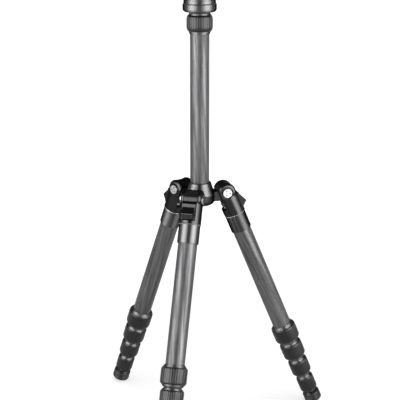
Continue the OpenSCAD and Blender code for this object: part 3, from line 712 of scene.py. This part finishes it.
wall_s, wall_r = arc(NECK_END, FOOT_NECK + 0.1 * MM, SHOULDER_END, FOOT_RADIUS, 6)
dome_at = FOOT_LENGTH - DOME_RADIUS
dome_edge = dome_at + np.sqrt(DOME_RADIUS ** 2 - FOOT_RADIUS ** 2)
band_s = np.linspace(BAND_START, dome_edge, 60)
wave = np.clip(np.sin(2 * np.pi * (band_s - RINGS_START) / RING_PITCH), 0, 1)
ringed = (band_s > RINGS_START) & (band_s < RINGS_START + FOOT_RINGS * RING_PITCH)
band_r = FOOT_RADIUS - RING_DEPTH * np.sqrt(wave) * ringed
sweep = np.linspace(np.arcsin(FOOT_RADIUS / DOME_RADIUS), 0, 14)[1:]
foot_s = np.concatenate([[FOOT_BORE_DEPTH] * 2, [0, 0, NECK_END], wall_s, band_s,
                         dome_at + DOME_RADIUS * np.cos(sweep)])
foot_r = np.concatenate([[0, FOOT_BORE, FOOT_BORE, FOOT_NECK, FOOT_NECK], wall_r, band_r,
                         DOME_RADIUS * np.sin(sweep)])

for leg in LEGS:
    start, end, _ = LEG_PLACE[leg].span(leg + "_foot")
    piece = turned(leg + "_foot_dress", LEG_PLACE[leg], start + foot_s, foot_r, [FOOT])
    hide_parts(leg + "_foot")
    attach(piece, leg + "_section5")
    print(leg, "foot:", round((end - start) / MM, 1), "mm long")

# %% [markdown]
# ## Camera screw
#
# The screw that holds the camera has a quarter inch thread. Its radius falls by a
# triangle wave of the height less the turn, so one turn moves the wave up by one
# pitch, which is what a helix is. A Screw modifier would make a thread too, but
# it leaves the ends open, and here the wave just fades out into the plain pin.

# %% Camera screw with its thread
PLATE_TOP = JOINTS["camera_screw_turn"]["pos_m"][2] - PIVOT_Z
THREAD_PITCH, THREAD_DEPTH = 1.27 * MM, 0.6 * MM
THREAD_RADIUS, SCREW_NECK = 3.175 * MM, 2.5 * MM
SCREW_HEAD_RADIUS, SCREW_HEAD_LOW, SCREW_HEAD_HIGH = 6.4 * MM, -10.5 * MM, -7.9 * MM
THREAD_LOW, THREAD_HIGH = 0.2 * MM, 5.2 * MM
THREAD_RUNOUT, THREAD_ROWS = 0.3 * MM, 80


def thread(along, angle):
    """Depth of the thread: a triangle wave of (height / pitch - turn), faded at both ends."""
    low, high = PLATE_TOP + THREAD_LOW, PLATE_TOP + THREAD_HIGH
    phase = np.mod(along / THREAD_PITCH - angle / (2 * np.pi), 1)
    fade = np.clip(np.minimum(along - low, high - along) / THREAD_RUNOUT, 0, 1)
    return THREAD_DEPTH * (1 - np.abs(2 * phase - 1)) * fade


rows = np.linspace(THREAD_LOW, THREAD_HIGH, THREAD_ROWS)
screw_s = PLATE_TOP + np.concatenate([[SCREW_HEAD_LOW] * 2, [SCREW_HEAD_HIGH] * 2,
                                      [THREAD_LOW], rows, [THREAD_HIGH]])
screw_r = np.concatenate([[0, SCREW_HEAD_RADIUS, SCREW_HEAD_RADIUS, SCREW_NECK, SCREW_NECK],
                          np.full(THREAD_ROWS, THREAD_RADIUS), [0]])
screw = turned("camera_screw_dress", COLUMN_PLACE, screw_s, screw_r, [STEEL], ripple=thread,
               turns=64)
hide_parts("camera_screw")
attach(screw, "camera_screw")
print("thread turns:", round((THREAD_HIGH - THREAD_LOW) / THREAD_PITCH, 1))

# %% [markdown]
# ## Pads on the camera plate
#
# A camera plate has two rubber strips with fine ribs, so that the camera doesn't
# creep round its screw. A strip is one section carried along a line: a wave for
# the ribs on top, closed by a flat base that is sunk a little into the plate.

# %% Pads on the camera plate
PAD_LENGTH, PAD_WIDTH, PAD_HEIGHT, PAD_SUNK = 31 * MM, 9 * MM, 0.5 * MM, 0.2 * MM
PAD_OFFSET, PAD_RIBS, PAD_WAVE = 12 * MM, 7, 0.15 * MM
POINTS_PER_RIB = 8


def ribbed_pad(name, centre, along, across):
    """Section: z = height - wave + wave cos(2 pi ribs x / width), over a flat base. The same
    section stands at both ends of the pad, and walls join the two."""
    x = np.linspace(-PAD_WIDTH / 2, PAD_WIDTH / 2, PAD_RIBS * POINTS_PER_RIB + 1)
    z = PAD_HEIGHT - PAD_WAVE + PAD_WAVE * np.cos(2 * np.pi * PAD_RIBS * x / PAD_WIDTH)
    x = np.concatenate([x, [x[-1], x[0]]])
    z = np.concatenate([z, [-PAD_SUNK] * 2])
    ends = np.array([-PAD_LENGTH / 2, PAD_LENGTH / 2])
    section = x[None, :, None] * across + z[None, :, None] * UP
    points = (centre + ends[:, None, None] * along + section).reshape(-1, 3)
    n = len(x)
    k = np.arange(n)
    walls = np.stack([k, k + n, beside(k) + n, beside(k)], -1)
    mesh = bpy.data.meshes.new(name)
    mesh.from_pydata(points.tolist(), [], walls.tolist() + [k.tolist(), (k[::-1] + n).tolist()])
    mesh.materials.append(GRIP)
    mesh.update()
    pad = bpy.data.objects.new(name, mesh)
    scene.collection.objects.link(pad)
    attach(pad, "camera_plate")
    return pad


slide_way = np.array(JOINTS["plate_slide"]["axis"])
cross_way = np.cross(UP, slide_way)
plate_middle = (PIVOT_Z + PLATE_TOP) * UP
for side, name in ((-1, "plate_pad_left"), (1, "plate_pad_right")):
    ribbed_pad(name, plate_middle + side * PAD_OFFSET * cross_way, slide_way, cross_way)
print("plate pads at", round((PIVOT_Z + PLATE_TOP) / MM, 1), "mm over the floor")

# %% [markdown]
# ## Painted shade in the gap under the head
#
# Where the head is screwed on the platform, there is a thin dark line between the
# two: the shade in a narrow gap. A thin dark ring round the foot of the head paints
# that shade and gives the same line, and it doesn't have to cut into either part.

# %% Painted shade in the gap between the platform and the head
GAP_HEIGHT, GAP_WALL, GAP_LIFT, GAP_INSET = 1.1 * MM, 0.35 * MM, 0.02 * MM, 0.2 * MM

base_low, _, base_radius = COLUMN_PLACE.span("head_base")
gap_s = base_low + np.array([GAP_LIFT, GAP_LIFT, GAP_HEIGHT, GAP_HEIGHT])
gap_r = base_radius + np.array([-GAP_INSET, GAP_WALL, GAP_WALL, -GAP_INSET])
# Painted shade: a dark ring where the gap under the head is in shade.
gap_ring = turned("head_gap_shade_ring", COLUMN_PLACE, gap_s, gap_r, [PAINTED_SHADE_BLACK])
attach(gap_ring, "inner_column")
print("gap shade ring radius:", round((base_radius + GAP_WALL) / MM, 2), "mm")

# %% [markdown]
# ## Finishes on the CAD parts
#
# The CAD parts keep their shapes and take a finish by the material slot in the
# record. Each leg's tubes and the column have a carbon finish of their own,
# because the fibres have to follow the tube they are wound on, and the anodised
# collars have one each, because their turning lines follow their own axis and
# their levels hold painted light and shade, darker on the right leg.

# %% Dress the CAD nodes
FINISH = {
    "black_casting": CASTING, "bright_steel": STEEL, "black_plastic": PLASTIC,
    "rubber_grip": GRIP, "rubber_foot": FOOT,
}
OWN_FINISH = {"ball": BALL, "clamp_base": MILLED, "clamp_jaw": MILLED, "camera_plate": MILLED}
SLOT = {part["node"]: part["material_slot"] for part in frame["record"]["subparts"]}


def finish_of(node):
    """The finish of a CAD node: its own, or that of its slot, on its own axis if it has one."""
    first_word = node.split("_")[0]
    axis = first_word if first_word in LEGS else "column"
    by_slot = {**FINISH, "carbon_tube": CARBON[axis], "black_anodised": ANODISED[axis]}
    return OWN_FINISH.get(node, by_slot[SLOT[node]])


for node in NODES:
    NODES[node].data.materials.clear()
    NODES[node].data.materials.append(finish_of(node))
print("dressed", len(NODES), "CAD nodes")


# %% [markdown]
# ## Bright bead and painted shade in the pin holes
#
# Two small places of CAD parts differ from the rest of their part: the polished
# bead round the lower end of each leg head, and the pin holes in the heads of the
# pivot bolts, which are painted black as the shade in them. Both are picked by
# where the middle of each face lies, which leaves the shapes alone and only gives
# those faces a second finish.

# %% Second finish on chosen faces
def face_centres(mesh):
    """The middle of every face, as one array."""
    flat = np.empty(3 * len(mesh.polygons), np.float32)
    mesh.polygons.foreach_get("center", flat)
    return flat.reshape(-1, 3)


def refinish(mesh, chosen, finish):
    """Gives the chosen faces a second finish."""
    mesh.materials.append(finish)
    mesh.polygons.foreach_set("material_index", chosen.astype(np.int32))
    print(finish.name, "on", int(chosen.sum()), "of", len(mesh.polygons), "faces")


# %% The bright bead at each leg head's lower end
CROWN_END = 30.4 * MM
BEAD = 0.9 * MM
BEAD_INSIDE = 12 * MM
END_SLACK = 0.01 * MM

for leg in LEGS:
    mesh, place = NODES[leg + "_crown"].data, LEG_PLACE[leg]
    centres = face_centres(mesh)
    pivot = np.array(JOINTS[leg + "_leg_swing"]["pos_m"])
    s, _ = from_axis(centres, pivot, place.along)
    _, r = from_axis(centres, place.point, place.along)
    at_end = (s > CROWN_END - BEAD) & (s < CROWN_END + END_SLACK)
    refinish(mesh, at_end & (r > BEAD_INSIDE), POLISHED)

# %% Pin holes in the bolt heads get painted shade
HEAD_REACH = 4.2 * MM
BOLT_REACH = 20 * MM
PIN_SKIN, PIN_DEPTH = 0.05 * MM, 1.5 * MM

bolts = NODES["pivot_bolts"].data
centres = face_centres(bolts)
pin_hole_shade = np.zeros(len(centres), bool)
for leg in LEGS:
    joint = JOINTS[leg + "_leg_swing"]
    s, r = from_axis(centres, np.array(joint["pos_m"]), np.array(joint["axis"]))
    near = r < HEAD_REACH
    top = np.abs(s[near & (np.abs(s) < BOLT_REACH)]).max()
    pin_hole_shade |= near & (np.abs(s) < top - PIN_SKIN) & (np.abs(s) > top - PIN_DEPTH)
refinish(bolts, pin_hole_shade, PAINTED_SHADE_BLACK)
